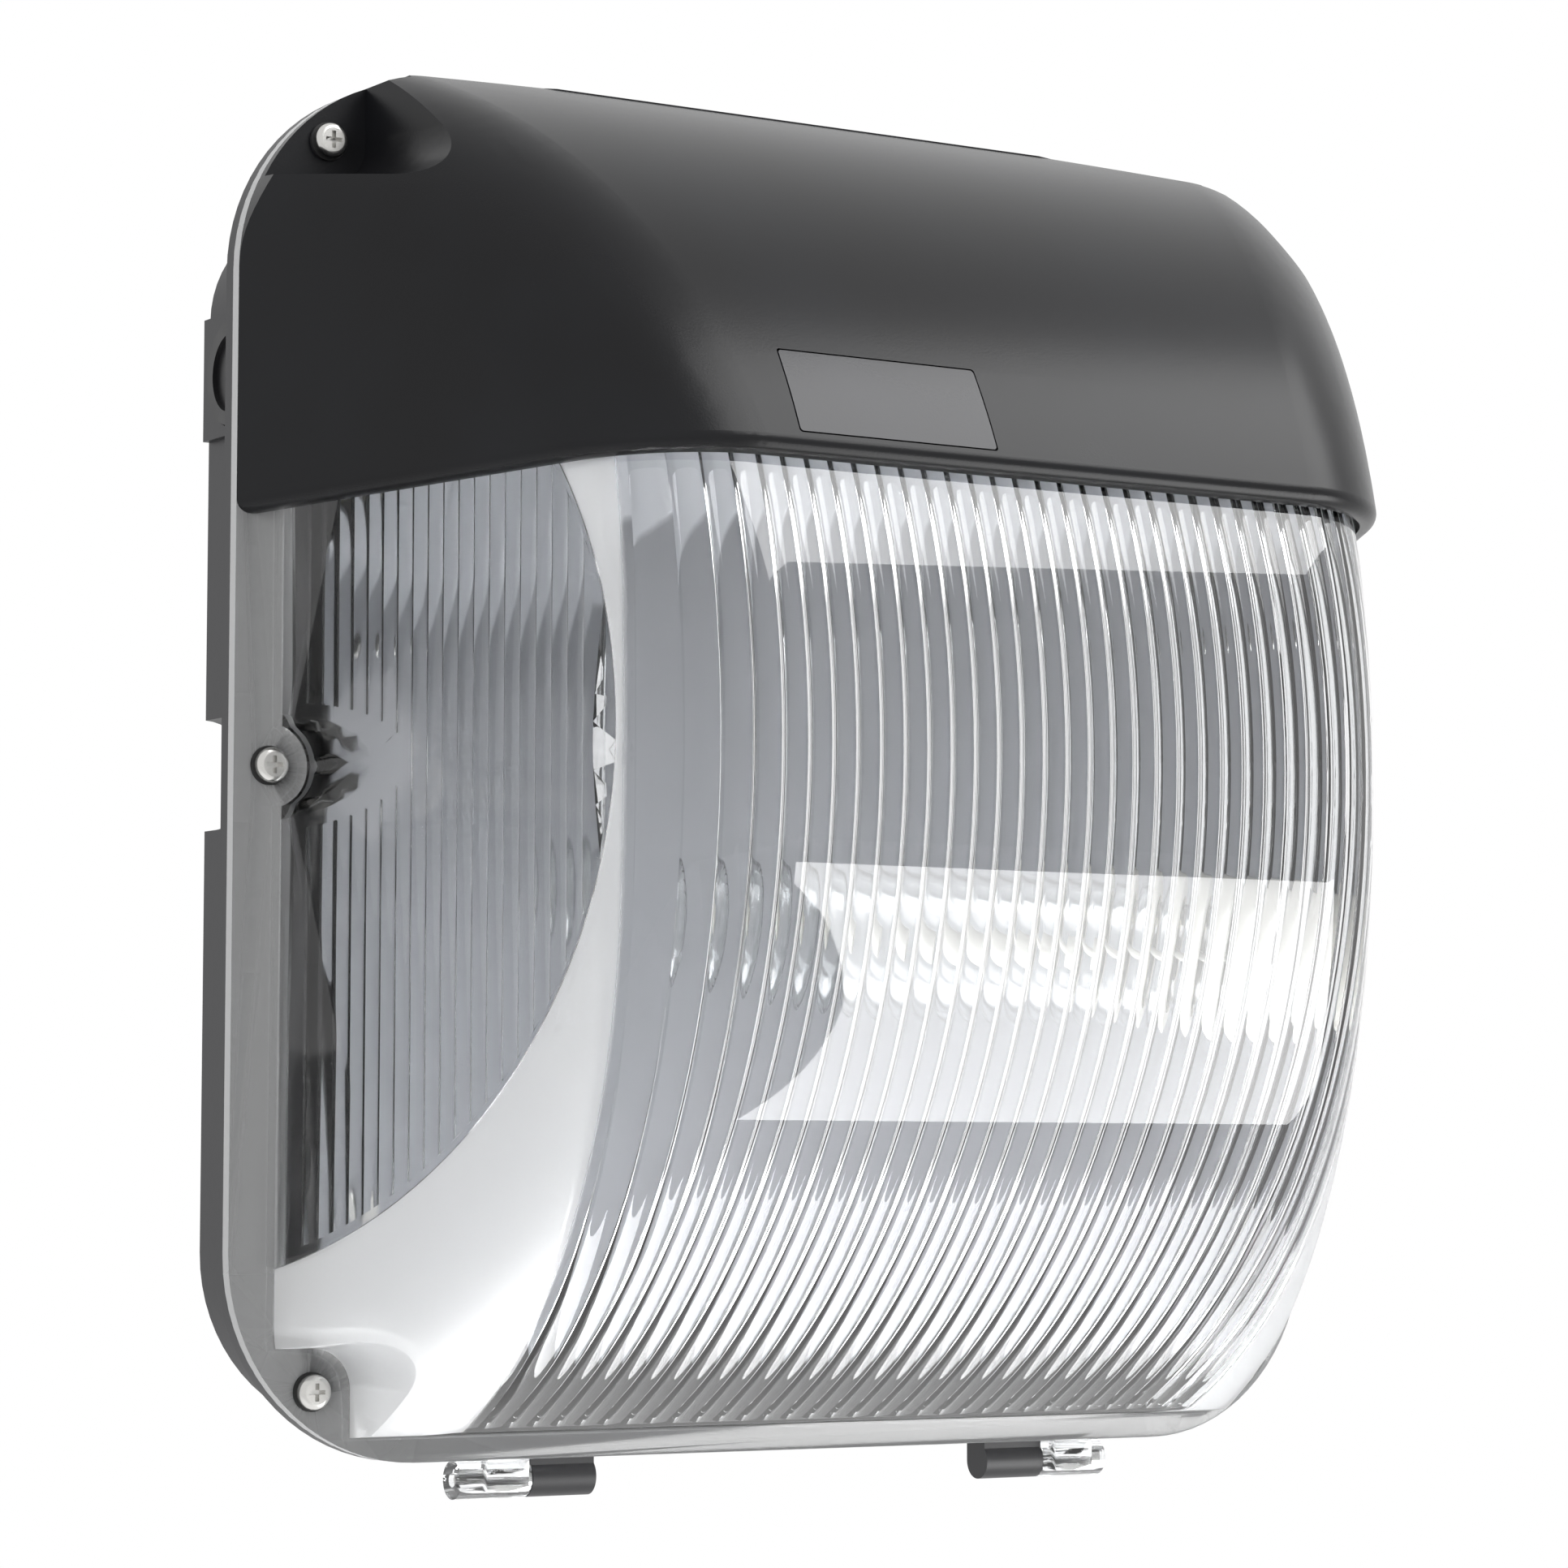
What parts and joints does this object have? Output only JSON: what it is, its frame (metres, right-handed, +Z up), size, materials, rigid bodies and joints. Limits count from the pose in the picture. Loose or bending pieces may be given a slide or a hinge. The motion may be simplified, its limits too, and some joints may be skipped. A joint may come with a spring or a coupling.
{
  "type": "wall pack light",
  "caption": "Outdoor wall light: a shallow housing, a deep clear prismatic diffuser hinged along its bottom edge, and a dark hood over the diffuser's upper half.",
  "frame": {"origin": "middle of the rim, projected onto the back face that lies on the wall", "axes": "+Z is up, +Y points into the wall, -Y is the way the light faces, and +X is to the right for a person facing the light"},
  "size_m": [0.3, 0.144, 0.3276],
  "materials": {
    "coated_housing": "satin",
    "hood_moulding": "matte",
    "clear_polycarbonate": "gloss",
    "black_rubber": "matte",
    "black_nylon": "satin",
    "stainless_steel": "satin",
    "brass": "satin",
    "zinc_plated_sheet": "satin",
    "white_enamelled_sheet": "satin",
    "gear_case_plastic": "satin",
    "ignitor_can": "satin",
    "terminal_plastic": "satin",
    "glazed_porcelain": "gloss",
    "clear_glass": "gloss",
    "lamp_cap_metal": "polished",
    "arc_tube_ceramic": "satin"
  },
  "bodies": {
    "housing": {"back_housing": "coated_housing", "cover_gasket": "black_rubber", "screw_inserts": "brass", "hinge_pins": "stainless_steel", "conduit_plugs": "black_nylon", "conduit_plug_seals": "black_rubber", "rear_cable_grommet": "black_rubber", "wall_fixing_washers": "black_rubber", "gear_tray": "zinc_plated_sheet", "gear_tray_screws": "stainless_steel", "reflector": "white_enamelled_sheet", "reflector_screws": "stainless_steel", "ballast": "gear_case_plastic", "ballast_screws": "stainless_steel", "ignitor": "ignitor_can", "ignitor_nut": "stainless_steel", "terminal_block": "terminal_plastic", "terminal_screws": "stainless_steel", "earth_terminal": "brass", "lampholder": "glazed_porcelain", "lampholder_bracket": "zinc_plated_sheet", "lampholder_screws": "stainless_steel", "bracket_screws": "stainless_steel", "lamp_bulb": "clear_glass", "lamp_cap": "lamp_cap_metal", "lamp_arc_tube": "arc_tube_ceramic"},
    "cover": {"diffuser": "clear_polycarbonate", "hood": "hood_moulding", "hood_blank_panel": "hood_moulding", "hood_screws": "stainless_steel", "side_screws": "stainless_steel", "bottom_screws": "stainless_steel", "screw_seals": "black_rubber"}
  },
  "joints": [
    {"name": "cover_hinge", "type": "hinge", "parent": "housing", "child": "cover", "pos_m": [0, -0.0275, -0.1622], "axis": [1, 0, 0], "range_deg": [0, 110]}
  ]
}
